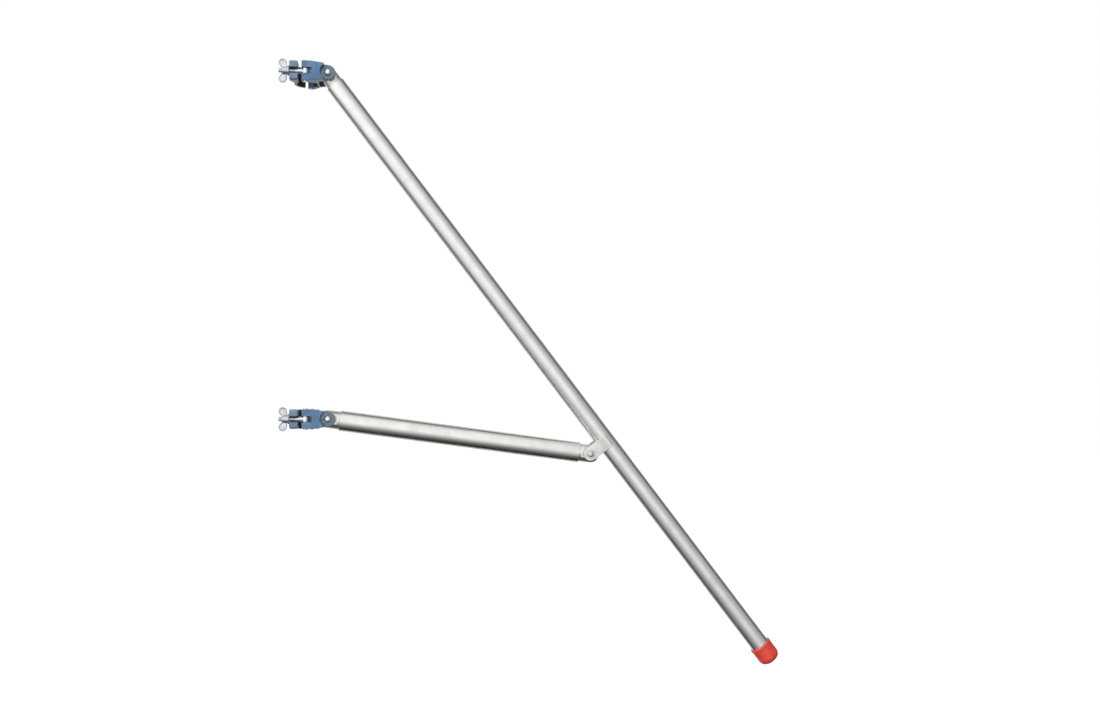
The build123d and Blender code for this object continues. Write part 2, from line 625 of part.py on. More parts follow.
# =========================================================================================
# The assembly
# =========================================================================================
for clamp_name, pivot_point in (("upper", upper_pivot), ("lower", lower_pivot)):
    clamp_z = pivot_point.Z
    make_saddle(clamp_name, clamp_z)
    make_flap(clamp_name, clamp_z)
    make_clamp_pin(f"{clamp_name}_hinge_pin", (HINGE_X, HINGE_Y), HINGE_PIN_RADIUS, clamp_z)
    make_clamp_pin(f"{clamp_name}_eye_pin", (EYE_X, BOLT_Y), EYE_PIN_RADIUS, clamp_z)
    make_eye_bolt(clamp_name, clamp_z)
    make_nut_parts(clamp_name, clamp_z)
    make_pivot_set(f"{clamp_name}_pivot", pivot_point, CHEEK_OUTER, CLAMP_WASHER_RADIUS)

leg_ends = [(upper_pivot, leg_along, LEG_TUBE_START)]
brace_ends = [
    (lower_pivot, brace_along, BRACE_TUBE_START),
    (ear_pivot, -brace_along, BRACE_TUBE_END),
]
leg_tube_end = make_foot()
make_tube("leg_tube", upper_pivot, leg_along, LEG_TUBE_START, leg_tube_end, leg_radius, leg_ends)
make_fitting("leg_fitting", *leg_ends[0], leg_radius - TUBE_WALL)
make_rivets("leg_rivets", leg_ends, leg_radius)
make_spacers("leg_spacers", upper_pivot, CHEEK_INNER)
make_ear("front_ear", 1)
make_ear("rear_ear", -1)
make_welds()
make_pivot_set("brace_pivot", ear_pivot, ear_outer, EAR_WASHER_RADIUS)

brace_tube_finish = BRACE_LENGTH - BRACE_TUBE_END
make_tube(
    "brace_tube", lower_pivot, brace_along, BRACE_TUBE_START, brace_tube_finish, brace_radius, brace_ends
)
make_fitting("brace_inner_fitting", *brace_ends[0], brace_radius - TUBE_WALL)
make_fitting("brace_outer_fitting", *brace_ends[1], brace_radius - TUBE_WALL)
make_rivets("brace_rivets", brace_ends, brace_radius)
make_spacers("brace_inner_spacers", lower_pivot, CHEEK_INNER)
make_spacers("brace_outer_spacers", ear_pivot, ear_inner)

print(f"lower clamp z {lower_pivot.Z:.3f}")
print(f"brace pivot {ear_pivot.X:.3f} {ear_pivot.Z:.3f}")
sole_centre = upper_pivot + leg_along * LEG_LENGTH
print(f"sole centre {sole_centre.X:.3f} {sole_centre.Z:.3f}")
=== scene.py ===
"""Looks for the ladder stabilizer: a leg and a brace, each hinged to a clamp for a vertical stile.

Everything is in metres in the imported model's frame: +Z up, +X towards the foot, -Y the front.
"""

import json
from math import cos, pi, radians, sin, tan

import bmesh
import bpy
from mathutils import Matrix, Vector, noise


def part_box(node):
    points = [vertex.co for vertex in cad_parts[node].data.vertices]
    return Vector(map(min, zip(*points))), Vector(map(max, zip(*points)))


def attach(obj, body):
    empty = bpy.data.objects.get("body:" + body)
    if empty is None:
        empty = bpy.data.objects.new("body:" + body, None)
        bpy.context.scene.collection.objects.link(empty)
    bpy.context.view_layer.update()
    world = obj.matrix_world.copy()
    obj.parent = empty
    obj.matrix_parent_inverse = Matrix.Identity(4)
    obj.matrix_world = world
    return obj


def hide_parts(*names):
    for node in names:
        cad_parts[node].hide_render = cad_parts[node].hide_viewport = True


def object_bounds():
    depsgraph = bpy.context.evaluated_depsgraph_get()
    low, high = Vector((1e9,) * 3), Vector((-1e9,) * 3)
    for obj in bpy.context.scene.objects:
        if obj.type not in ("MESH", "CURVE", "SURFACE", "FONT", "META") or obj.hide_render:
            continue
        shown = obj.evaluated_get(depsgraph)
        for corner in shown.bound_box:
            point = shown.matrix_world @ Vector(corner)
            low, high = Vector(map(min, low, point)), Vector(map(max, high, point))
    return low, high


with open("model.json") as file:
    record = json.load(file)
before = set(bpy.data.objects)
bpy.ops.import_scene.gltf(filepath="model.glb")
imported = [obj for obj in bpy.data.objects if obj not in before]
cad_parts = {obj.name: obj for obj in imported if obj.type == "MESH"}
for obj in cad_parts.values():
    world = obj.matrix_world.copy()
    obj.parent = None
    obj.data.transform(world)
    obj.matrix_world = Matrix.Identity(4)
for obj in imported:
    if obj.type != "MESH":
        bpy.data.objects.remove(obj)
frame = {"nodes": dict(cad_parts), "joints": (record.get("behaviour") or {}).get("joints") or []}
cad_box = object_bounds()

MM = 0.001
SMOOTH_ANGLE = radians(32)
UP = Vector((0, 0, 1))
RIGHT = Vector((1, 0, 0))
FRONT = Vector((0, -1, 0))

# --- sizes of the CAD part that the looks follow ---------------------------------------------
STILE_RADIUS = 25.4 * MM
LEG_RADIUS = 24.15 * MM
BRACE_RADIUS = 25.4 * MM
TUBE_WALL = 3.2 * MM
LEG_TUBE_START = 27 * MM  # upper pivot to the tube's end
BRACE_TUBE_START = 28 * MM  # lower pivot to the tube's end
BRACE_TUBE_END = 27 * MM  # brace pivot to the tube's end
FORK_OUTER = 30.3 * MM  # middle plane to the outer faces of a clamp's fork
EAR_OUTER = 30.2 * MM  # and of the ears
PIVOT_WASHER = 2 * MM
BOLT_RADIUS = 5.9 * MM
THREAD_PITCH = 1.75 * MM
DISC_HALF = 1.5 * MM  # half the foot disc's thickness
DISC_TO_SOLE = 11.5 * MM  # middle of the foot disc to the sole

# --- places taken from the frame -------------------------------------------------------------
joint_at = {joint["name"]: Vector(joint["pos_m"]) for joint in frame["joints"] if "pos_m" in joint}
upper_pivot = joint_at["leg_pivot"]
lower_pivot = joint_at["lower_clamp_pivot"]
ear_pivot = joint_at["brace_pivot"]


def middle(node):
    """The middle of a CAD node's box."""
    low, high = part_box(node)
    return (low + high) / 2


leg_to_disc = middle("foot_disc") - upper_pivot
disc_reach = leg_to_disc.length
leg_along = leg_to_disc.normalized()
leg_across = leg_along.cross(FRONT).normalized()
if leg_across.z < 0:
    leg_across = -leg_across
brace_along = (ear_pivot - lower_pivot).normalized()
brace_across = Vector((-brace_along.z, 0, brace_along.x))


# =============================================================================================
# Mesh helpers
# =============================================================================================
def finish_mesh(name, mesh, body, material, replaced=()):
    """Makes an object of a mesh, smooth-shaded up to sharp edges, and fastens it to its body."""
    piece = bpy.data.objects.new(name, mesh)
    bpy.context.scene.collection.objects.link(piece)
    mesh.polygons.foreach_set("use_smooth", [True] * len(mesh.polygons))
    mesh.set_sharp_from_angle(angle=SMOOTH_ANGLE)
    mesh.materials.clear()
    mesh.materials.append(material)
    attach(piece, body)
    if replaced:
        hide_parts(*replaced)


def mesh_from(bm, name):
    """Closes a bmesh into a mesh with normals that face outwards."""
    bmesh.ops.recalc_face_normals(bm, faces=bm.faces)
    mesh = bpy.data.meshes.new(name)
    bm.to_mesh(mesh)
    bm.free()
    return mesh


def axes_about(along):
    """Two directions square to an axis and to each other."""
    side = along.cross(Vector((0, 1, 0)))
    if side.length < 0.1:
        side = along.cross(UP)
    side.normalize()
    return side, along.cross(side).normalized()


def lathe_rings(bm, origin, along, profile, segments):
    """Adds a turned solid's rings of vertices; the profile lists (distance along, radius)."""
    side, other = axes_about(along)
    rings = []
    for distance, radius in profile:
        centre = origin + along * distance
        if radius == 0:
            rings.append([bm.verts.new(centre)])
            continue
        ring = []
        for i in range(segments):
            angle = 2 * pi * i / segments
            ring.append(bm.verts.new(centre + (side * cos(angle) + other * sin(angle)) * radius))
        rings.append(ring)
    return rings


def skin(bm, rings, closed_profile=False):
    """Joins rings of vertices with faces; a ring of one vertex is a pole."""
    pairs = list(zip(rings, rings[1:]))
    if closed_profile:
        pairs.append((rings[-1], rings[0]))
    for lower, upper in pairs:
        count = max(len(lower), len(upper))
        for i in range(count):
            k = (i + 1) % count
            if len(lower) == 1:
                bm.faces.new((lower[0], upper[i], upper[k]))
            elif len(upper) == 1:
                bm.faces.new((lower[i], lower[k], upper[0]))
            else:
                bm.faces.new((lower[i], lower[k], upper[k], upper[i]))


def arc(centre_s, centre_r, radius, start, end, steps=6):
    """Points of a rounded corner in a profile, angles in degrees from the axis direction."""
    points = []
    for i in range(steps + 1):
        angle = radians(start + (end - start) * i / steps)
        points.append((centre_s + radius * cos(angle), centre_r + radius * sin(angle)))
    return points


def thread_height(turns, depth):
    """How far a 60 degree thread stands above its root, by the share of a turn."""
    root_flat = 0.12
    flank = 0.74
    share = turns % 1.0
    height = 1 - abs(2 * share - 1)
    return depth * min(1.0, max(0.0, (height - root_flat) / flank))


def add_threaded_rod(bm, origin, along, start, end, crest, plain_to, tip_chamfer):
    """Adds a rod whose far stretch carries a real helical thread, with a chamfered tip."""
    pitch = THREAD_PITCH
    depth = 0.6 * pitch
    rows_per_turn = 8
    segments = 40
    distances = [start]
    distance = plain_to
    while distance < end - 1e-9:
        distances.append(distance)
        distance += pitch / rows_per_turn
    distances.append(end)
    side, other = axes_about(along)
    rings = [[bm.verts.new(origin + along * start)]]
    for distance in distances:
        taper = max(0.0, distance - (end - tip_chamfer))
        ring = []
        for i in range(segments):
            turn = i / segments
            radius = crest
            if distance >= plain_to:
                radius = crest - depth + thread_height(distance / pitch - turn, depth)
            radius = min(radius, crest - taper)
            angle = 2 * pi * turn
            outward = side * cos(angle) + other * sin(angle)
            ring.append(bm.verts.new(origin + along * distance + outward * radius))
        rings.append(ring)
    rings.append([bm.verts.new(origin + along * end)])
    skin(bm, rings)


def hull_outline(circles, steps):
    """The outline round a few circles in a plane, as points; each circle is (x, y, radius)."""
    points = []
    for i in range(steps):
        angle = 2 * pi * i / steps
        normal = (cos(angle), sin(angle))
        x, y, radius = max(circles, key=lambda c: c[0] * normal[0] + c[1] * normal[1] + c[2])
        points.append((x + radius * normal[0], y + radius * normal[1]))
    return points


def remeshed(mesh, name, voxel, smooth_rounds):
    """The union of a mesh's overlapping solids as one skin with softened edges."""
    source = bpy.data.objects.new(name + "_source", mesh)
    bpy.context.scene.collection.objects.link(source)
    union = source.modifiers.new("union", "REMESH")
    union.mode = "VOXEL"
    union.voxel_size = voxel
    soften = source.modifiers.new("soften", "SMOOTH")
    soften.factor = 0.5
    soften.iterations = smooth_rounds
    evaluated = source.evaluated_get(bpy.context.evaluated_depsgraph_get())
    result = bpy.data.meshes.new_from_object(evaluated)
    result.name = name
    bpy.data.objects.remove(source)
    return result


def moved_copy(mesh, offset):
    """A copy of a mesh at another place in the frame."""
    copy = mesh.copy()
    copy.transform(Matrix.Translation(offset))
    return copy


# =============================================================================================
# Materials
# =============================================================================================
class Finish:
    """A Principled material and short ways to add nodes to it."""

    def __init__(self, name, colour, metallic, roughness, **sockets):
        self.material = bpy.data.materials.new(name)
        self.material.use_nodes = True
        self.tree = self.material.node_tree
        self.shader = self.tree.nodes["Principled BSDF"]
        self.shader.inputs["Base Color"].default_value = (*colour, 1)
        self.shader.inputs["Metallic"].default_value = metallic
        self.shader.inputs["Roughness"].default_value = roughness
        for socket, value in sockets.items():
            self.shader.inputs[socket.replace("_", " ")].default_value = value
        self.place = self.tree.nodes.new("ShaderNodeTexCoord").outputs["Object"]

    def put(self, value, socket):
        """Links a node output to a socket, or sets the socket to a plain value."""
        if isinstance(value, bpy.types.NodeSocket):
            self.tree.links.new(value, socket)
        else:
            socket.default_value = value

    def maths(self, operation, first, second=0.0, third=0.0):
        """One Math node of up to three values."""
        node = self.tree.nodes.new("ShaderNodeMath")
        node.operation = operation
        for value, socket in zip((first, second, third), node.inputs):
            self.put(value, socket)
        return node.outputs[0]

    def dot(self, direction):
        """The distance along a direction, in metres."""
        node = self.tree.nodes.new("ShaderNodeVectorMath")
        node.operation = "DOT_PRODUCT"
        self.put(self.place, node.inputs[0])
        node.inputs[1].default_value = direction
        return node.outputs["Value"]

    def reach_from_stile(self):
        """The distance from the axis of the clamps' bores, in metres."""
        squares = []
        for way in (RIGHT, FRONT):
            squares.append(self.maths("POWER", self.maths("ABSOLUTE", self.dot(way)), 2.0))
        return self.maths("SQRT", self.maths("ADD", *squares))

    def stretched(self, along, across, along_scale, across_scale):
        """Coordinates that stretch a pattern along one direction."""
        node = self.tree.nodes.new("ShaderNodeCombineXYZ")
        self.put(self.maths("MULTIPLY", self.dot(along), along_scale), node.inputs[0])
        self.put(self.maths("MULTIPLY", self.dot(across), across_scale), node.inputs[1])
        third = along.cross(across).normalized()
        self.put(self.maths("MULTIPLY", self.dot(third), across_scale), node.inputs[2])
        return node.outputs[0]

    def noise(self, scale, detail=3.0, roughness=0.5, place=None):
        """A noise pattern; scale counts features per metre."""
        node = self.tree.nodes.new("ShaderNodeTexNoise")
        self.put(place or self.place, node.inputs["Vector"])
        node.inputs["Scale"].default_value = scale
        node.inputs["Detail"].default_value = detail
        node.inputs["Roughness"].default_value = roughness
        return node.outputs["Fac"]

    def remap(self, value, low, high, to_low=0.0, to_high=1.0):
        """Maps a range to another, smoothly, and clamps it."""
        node = self.tree.nodes.new("ShaderNodeMapRange")
        node.interpolation_type = "SMOOTHSTEP"
        for number, socket in zip((value, low, high, to_low, to_high), node.inputs):
            self.put(number, socket)
        return node.outputs[0]

    def blend(self, factor, first, second):
        """Mixes two colours."""
        node = self.tree.nodes.new("ShaderNodeMix")
        node.data_type = "RGBA"
        self.put(factor, node.inputs[0])
        for colour, socket in ((first, node.inputs[6]), (second, node.inputs[7])):
            if not isinstance(colour, bpy.types.NodeSocket):
                colour = (*colour, 1)
            self.put(colour, socket)
        return node.outputs[2]

    def edges(self, radius, low, high):
        """1 along outer and inner edges, 0 on open faces."""
        bevel = self.tree.nodes.new("ShaderNodeBevel")
        bevel.samples = 6
        bevel.inputs["Radius"].default_value = radius
        geometry = self.tree.nodes.new("ShaderNodeNewGeometry")
        node = self.tree.nodes.new("ShaderNodeVectorMath")
        node.operation = "DOT_PRODUCT"
        self.put(bevel.outputs[0], node.inputs[0])
        self.put(geometry.outputs["True Normal"], node.inputs[1])
        return self.remap(self.maths("SUBTRACT", 1.0, node.outputs["Value"]), low, high)

    def bump(self, height, distance, strength=1.0):
        """Chains a bump onto the shader's normal; distance is the relief in metres."""
        node = self.tree.nodes.new("ShaderNodeBump")
        node.inputs["Strength"].default_value = strength
        node.inputs["Distance"].default_value = distance
        self.put(height, node.inputs["Height"])
        normal = self.shader.inputs["Normal"]
        if normal.links:
            self.put(normal.links[0].from_socket, node.inputs["Normal"])
        self.put(node.outputs[0], normal)

    def set(self, socket, value):
        """Drives one of the shader's sockets."""
        self.put(value, self.shader.inputs[socket])


def drawn_aluminium(name, along, across, tint):
    """Drawn tube: die lines along it, a satin skin, faint blotches and a few handling marks."""
    tube = Finish(name, tint, 1.0, 0.3)
    lines = tube.noise(1.0, 4.0, 0.6, tube.stretched(along, across, 3.0, 2600.0))
    bands = tube.noise(1.0, 2.0, 0.5, tube.stretched(along, across, 1.2, 260.0))
    blotches = tube.noise(26.0, 4.0, 0.6)
    scuffs = tube.noise(1.0, 2.0, 0.4, tube.stretched(along, across, 900.0, 60.0))
    spots = tube.noise(45.0, 1.0)
    marks = tube.maths("MULTIPLY", tube.remap(scuffs, 0.63, 0.7), tube.remap(spots, 0.56, 0.66))
    dull = tuple(0.8 * value for value in tint)
    shade = tube.blend(tube.remap(blotches, 0.3, 0.75, 0.0, 0.45), tint, dull)
    tube.set("Base Color", tube.blend(tube.maths("MULTIPLY", marks, 0.5), shade, dull))
    satin = tube.remap(bands, 0.25, 0.75, 0.24, 0.36)
    cloudy = tube.maths("ADD", satin, tube.remap(blotches, 0.35, 0.8, -0.03, 0.08))
    tube.set("Roughness", tube.maths("ADD", cloudy, tube.maths("MULTIPLY", marks, 0.15)))
    tube.bump(lines, 0.003 * MM, 0.15)
    tube.bump(marks, -0.012 * MM, 0.5)
    return tube.material


BARE_STEEL = (0.36, 0.37, 0.38)
# Painted shade: the near-black of the clamps' bores, partly shade and partly metal dark from
# rubbing against the stile.
BORE_SHADE_AND_RUBBED_STEEL = (0.035, 0.04, 0.048)


def blue_paint(name, colour, worn):
    """Stoved paint on a forging: orange peel, chipped edges and a bore painted near-black, partly
    painted shade and partly metal dark from rubbing.
    """
    paint = Finish(name, colour, 0.0, 0.34, Coat_Weight=0.35, Coat_Roughness=0.12)
    peel = paint.noise(420.0, 2.0)
    clouds = paint.noise(30.0, 3.0)
    grain = paint.noise(240.0, 5.0, 0.7)
    deep = tuple(0.78 * value for value in colour)
    light = tuple(min(1.0, 1.12 * value + 0.01) for value in colour)
    body_colour = paint.blend(paint.remap(clouds, 0.3, 0.7), deep, light)
    edge = paint.edges(1.8 * MM, 0.012, 0.09)
    chips = paint.maths("MULTIPLY", edge, paint.remap(grain, 0.52 - 0.1 * worn, 0.62))
    hairlines = paint.noise(1.0, 2.0, 0.4, paint.stretched(RIGHT, UP, 45.0, 1500.0))
    scratches = paint.remap(hairlines, 0.69, 0.73)
    patches = paint.remap(paint.noise(70.0, 2.0), 0.5, 0.62, 0.0, 0.55)
    bare = paint.maths("MAXIMUM", chips, paint.maths("MULTIPLY", scratches, patches))
    chipped = paint.blend(bare, body_colour, BARE_STEEL)
    # Painted shade: within about 1 mm of the stile's radius the bore is painted near-black, partly
    # as shade and partly as metal dark from rubbing.
    reach = paint.reach_from_stile()
    bore_shade_and_rubbed = paint.remap(reach, STILE_RADIUS + 0.2 * MM, STILE_RADIUS + 1.0 * MM, 1.0, 0.0)
    paint.set("Base Color", paint.blend(bore_shade_and_rubbed, chipped, BORE_SHADE_AND_RUBBED_STEEL))
    paint.set("Metallic", paint.maths("MULTIPLY", bare, 0.85))
    gloss = paint.remap(clouds, 0.3, 0.7, 0.3, 0.42)
    paint.set("Roughness", paint.maths("ADD", gloss, paint.maths("MULTIPLY", bore_shade_and_rubbed, 0.15)))
    paint.bump(peel, 0.05 * MM, 0.35)
    paint.bump(bare, -0.06 * MM, 0.5)
    return paint.material


def plated_steel(name, colour, roughness, relief):
    """Zinc plate: bright, with soft clouds of passivation and fine turning marks."""
    plate = Finish(name, colour, 1.0, roughness)
    clouds = plate.noise(160.0, 3.0)
    fine = plate.noise(1600.0, 3.0, 0.6)
    warm = (colour[0] * 0.93, colour[1] * 0.9, colour[2] * 0.8)
    plate.set("Base Color", plate.blend(plate.remap(clouds, 0.4, 0.75, 0.0, 0.6), colour, warm))
    plate.set("Roughness", plate.remap(clouds, 0.25, 0.75, roughness * 0.8, roughness * 1.35))
    plate.bump(fine, relief, 0.4)
    return plate.material


def cast_metal(name, colour, roughness, relief):
    """Cast or sawn metal with a fine grain, brighter where edges are worn by rubbing."""
    cast = Finish(name, colour, 1.0, roughness)
    grain = cast.noise(900.0, 5.0, 0.65)
    clouds = cast.noise(55.0, 3.0)
    dark = tuple(0.7 * value for value in colour)
    bright = tuple(min(0.95, 1.15 * value) for value in colour)
    shade = cast.blend(cast.remap(clouds, 0.3, 0.75, 0.0, 0.8), colour, dark)
    edge = cast.edges(0.8 * MM, 0.03, 0.25)
    cast.set("Base Color", cast.blend(cast.maths("MULTIPLY", edge, 0.7), shade, bright))
    cast.set("Roughness", cast.remap(grain, 0.25, 0.75, roughness * 0.8, roughness * 1.25))
    cast.bump(grain, relief, 0.5)
    return cast.material


def plastic(name, colour, roughness):
    """Moulded nylon: waxy, faintly mottled."""
    nylon = Finish(name, colour, 0.0, roughness, Subsurface_Weight=0.15, Subsurface_Scale=0.002)
    clouds = nylon.noise(260.0, 2.0)
    faded = tuple(0.9 * value for value in colour)
    nylon.set("Base Color", nylon.blend(nylon.remap(clouds, 0.3, 0.7), colour, faded))
    nylon.set("Roughness", nylon.remap(clouds, 0.3, 0.7, roughness * 0.85, roughness * 1.2))
    nylon.bump(nylon.noise(1800.0), 0.02 * MM, 0.3)
    return nylon.material


def red_rubber(name, along, sole_at):
    """Moulded rubber: soft gloss, a fine pebble and grime that grows towards the sole."""
    red, dark_red, light_red = (0.8, 0.07, 0.045), (0.76, 0.06, 0.04), (0.88, 0.088, 0.056)
    dirt = (0.13, 0.06, 0.05)
    rubber = Finish(name, red, 0.0, 0.3, Subsurface_Weight=0.06, Subsurface_Scale=0.003)
    clouds = rubber.noise(70.0, 3.0)
    body_colour = rubber.blend(rubber.remap(clouds, 0.3, 0.7), dark_red, light_red)
    past_sole = rubber.maths("SUBTRACT", rubber.dot(along), sole_at)
    near_sole = rubber.remap(past_sole, -7 * MM, -0.5 * MM)
    smears = rubber.remap(rubber.noise(240.0, 4.0, 0.7), 0.4, 0.65, 0.15, 0.8)
    grime = rubber.maths("MULTIPLY", near_sole, smears)
    rubber.set("Base Color", rubber.blend(grime, body_colour, dirt))
    rubber.set("Roughness", rubber.remap(clouds, 0.3, 0.7, 0.24, 0.4))
    rubber.bump(rubber.noise(1500.0, 2.0), 0.03 * MM, 0.35)
    return rubber.material


LEG_TINT = (0.86, 0.86, 0.85)
BRACE_TINT = (0.85, 0.83, 0.8)
sole_along = middle("foot_disc").dot(leg_along) + DISC_TO_SOLE
looks = {
    "leg_tube": drawn_aluminium("leg_tube_aluminium", leg_along, leg_across, LEG_TINT),
    "brace_tube": drawn_aluminium("brace_tube_aluminium", brace_along, brace_across, BRACE_TINT),
    "saddle": blue_paint("blue_paint", (0.075, 0.19, 0.35), 0.55),
    # Painted light: the flap's paint is the saddle's blue made lighter and greyer, a lit copy of
    # the same paint; its heavier chipping is wear.
    "flap": blue_paint("blue_paint_flap_lit_copy", (0.165, 0.245, 0.36), 0.9),
    "zinc_steel": plated_steel("zinc_steel", (0.76, 0.82, 0.87), 0.24, 0.01 * MM),
    "zinc_casting": cast_metal("zinc_casting", (0.7, 0.73, 0.77), 0.28, 0.012 * MM),
    "dark_steel": plated_steel("dark_steel", (0.17, 0.21, 0.25), 0.38, 0.01 * MM),
    "satin_steel": cast_metal("satin_steel", (0.77, 0.76, 0.74), 0.42, 0.01 * MM),
    "cast_aluminium": cast_metal("cast_aluminium", (0.88, 0.88, 0.87), 0.38, 0.015 * MM),
    "plate_aluminium": cast_metal("plate_aluminium", (0.88, 0.87, 0.84), 0.4, 0.012 * MM),
    "rivet_aluminium": plated_steel("rivet_aluminium", (0.82, 0.82, 0.81), 0.3, 0.01 * MM),
    "weld_aluminium": cast_metal("weld_aluminium", (0.74, 0.73, 0.71), 0.33, 0.03 * MM),
    "nylon": plastic("nylon", (0.74, 0.74, 0.7), 0.45),
    "nylon_ring": plastic("nylon_ring", (0.05, 0.13, 0.42), 0.4),
    "red_rubber": red_rubber("red_rubber", leg_along, sole_along),
}


# =============================================================================================
# CAD nodes that stay: each gets the finish of its kind
# =============================================================================================
# the end of a node's name, then its look and its slot; the first that fits counts
NODE_LOOKS = {
    "brace_pivot_washers": ("satin_steel", "zinc_steel"),
    "saddle": ("saddle", "blue_paint"),
    "flap": ("flap", "blue_paint"),
    "hinge_pin": ("zinc_steel", "zinc_steel"),
    "eye_pin": ("zinc_steel", "zinc_steel"),
    "seat_washer": ("zinc_steel", "zinc_steel"),
    "pivot_washers": ("dark_steel", "dark_steel"),
    "fitting": ("cast_aluminium", "cast_aluminium"),
    "ear": ("plate_aluminium", "plate_aluminium"),
    "spacers": ("nylon", "nylon"),
    "foot_disc": ("dark_steel", "dark_steel"),
}
for node_name, node in frame["nodes"].items():
    for ending, (look, slot_name) in NODE_LOOKS.items():
        if node_name.endswith(ending):
            node.data.materials.clear()
            node.data.materials.append(looks[look])
            break


# =============================================================================================
# Tubes
# =============================================================================================
def tube_piece(node_name, body, pivot, along, start, end, radius):
    """A drawn tube with deburred ends, in place of the plain one."""
    burr = 0.6 * MM
    bore = radius - TUBE_WALL
    profile = [
        (start, bore + burr),
        (start, radius - burr),
        (start + burr, radius),
        (end - burr, radius),
        (end, radius - burr),
        (end, bore + burr),
        (end - burr, bore),
        (start + burr, bore),
    ]
    name = node_name + "_drawn"
    look = looks[node_name]
    bm = bmesh.new()
    skin(bm, lathe_rings(bm, pivot, along, profile, 160), closed_profile=True)
    finish_mesh(name, mesh_from(bm, name), body, look, (node_name,))


leg_end = disc_reach - DISC_HALF
brace_end = (ear_pivot - lower_pivot).length - BRACE_TUBE_END
tube_piece("leg_tube", "main_leg", upper_pivot, leg_along, LEG_TUBE_START, leg_end, LEG_RADIUS)
tube_piece(
    "brace_tube", "brace", lower_pivot, brace_along, BRACE_TUBE_START, brace_end, BRACE_RADIUS
)


# =============================================================================================
# Swing bolts and wing nuts
# =============================================================================================
EYE = Vector((*joint_at["upper_bolt_swing"].xy, 0))
clamps = (("upper", upper_pivot.z), ("lower", lower_pivot.z))


def eye_bolt_mesh():
    """A forged eye and a shank with a rolled M12 thread."""
    bm = bmesh.new()
    outer, inner, half, corner = 8 * MM, 4.05 * MM, 7 * MM, 1.5 * MM
    shank_start, thread_start, tip = 5 * MM, 25 * MM, 64.5 * MM
    profile = [(-half, inner), *arc(-half + corner, outer - corner, corner, 180, 90)]
    profile += [*arc(half - corner, outer - corner, corner, 90, 0), (half, inner)]
    skin(bm, lathe_rings(bm, EYE, UP, profile, 56), closed_profile=True)
    add_threaded_rod(bm, EYE, -RIGHT, shank_start, tip, BOLT_RADIUS, thread_start, 1.4 * MM)
    return mesh_from(bm, "eye_bolt_threaded")


def wing_nut_mesh():
    """A cast wing nut: a tapered hub with two wings, each a thin web inside a rounded rim."""
    face = -43.6 * MM
    length = 14 * MM
    bore = 5.95 * MM
    rim = 1.9 * MM
    rim_stretch = 1.2
    rim_points = 12
    web = 1.1 * MM
    bm = bmesh.new()
    profile = [(0, bore), (0, 10.2 * MM), (0.6 * MM, 10.5 * MM), (length - 1.5 * MM, 8.9 * MM)]
    profile += [(length - 0.4 * MM, 8.3 * MM), (length, 7.6 * MM), (length, bore)]
    start = Vector((face, EYE.y, 0))
    skin(bm, lathe_rings(bm, start, -RIGHT, profile, 48), closed_profile=True)
    for side in (1, -1):
        root = (face - 7.5 * MM, side * 7.0 * MM, 4.2 * MM)
        tip = (face - 13 * MM, side * 19.5 * MM, 10 * MM - rim)
        outline = hull_outline([root, tip], 96)
        rings = []
        for i, (x, z) in enumerate(outline):
            before, after = outline[i - 1], outline[(i + 1) % len(outline)]
            tangent = Vector((after[0] - before[0], 0, after[1] - before[1])).normalized()
            outward = tangent.cross(FRONT)
            centre = Vector((x, EYE.y, z))
            ring = []
            for k in range(rim_points):
                angle = 2 * pi * k / rim_points
                offset = outward * cos(angle) + FRONT * sin(angle) * rim_stretch
                ring.append(bm.verts.new(centre + offset * rim))
            rings.append(ring)
        skin(bm, rings, closed_profile=True)
        front_face = [bm.verts.new((x, EYE.y - web, z)) for x, z in outline]
        back_face = [bm.verts.new((x, EYE.y + web, z)) for x, z in outline]
        bm.faces.new(front_face)
        bm.faces.new(list(reversed(back_face)))
        skin(bm, [front_face, back_face])
    return remeshed(mesh_from(bm, "wing_nut_solids"), "wing_nut_cast", 0.4 * MM, 4)


bolt_mesh = eye_bolt_mesh()
nut_mesh = wing_nut_mesh()
for clamp_name, clamp_z in clamps:
    lift = Vector((0, 0, clamp_z))
    finish_mesh(
        f"{clamp_name}_eye_bolt_threaded",
        moved_copy(bolt_mesh, lift),
        f"{clamp_name}_swing_bolt",
        looks["zinc_steel"],
        (f"{clamp_name}_eye_bolt",),
    )
    finish_mesh(
        f"{clamp_name}_wing_nut_cast",
        moved_copy(nut_mesh, lift),
        f"{clamp_name}_wing_nut",
        looks["zinc_casting"],
        (f"{clamp_name}_wing_nut",),
    )


# =============================================================================================
# Pivot bolts and their lock nuts
# =============================================================================================
def pivot_bolt_mesh(pivot, outer):
    """A low domed head in front and a threaded end that stands out of the nut."""
    radius, tip = 6 * MM, 45 * MM
    plain_to = outer - 8 * MM
    under_head = outer + PIVOT_WASHER
    top = under_head + 5.5 * MM
    bm = bmesh.new()
    profile = [(top, 0), (top, 2.6 * MM)]
    profile += [(top - 0.25 * MM, 3.9 * MM), (top - 0.8 * MM, 5.4 * MM), (top - 1.7 * MM, 6.7 * MM)]
    profile += [(top - 2.9 * MM, 7.6 * MM), (under_head + 1.0 * MM, 8 * MM)]
    profile += [(under_head + 0.2 * MM, 8 * MM), (under_head, 7.8 * MM)]
    profile += [(under_head, 5.9 * MM), (under_head - 1 * MM, 0)]
    skin(bm, lathe_rings(bm, pivot, FRONT, profile, 56))
    add_threaded_rod(bm, pivot, -FRONT, -under_head, tip, radius, plain_to, 1.5 * MM)
    return mesh_from(bm, "pivot_bolt_domed")


def hex_radius(angle, flats):
    """A hexagon's radius in a direction."""
    sixth = pi / 3
    return flats / 2 / cos((angle % sixth) - sixth / 2)


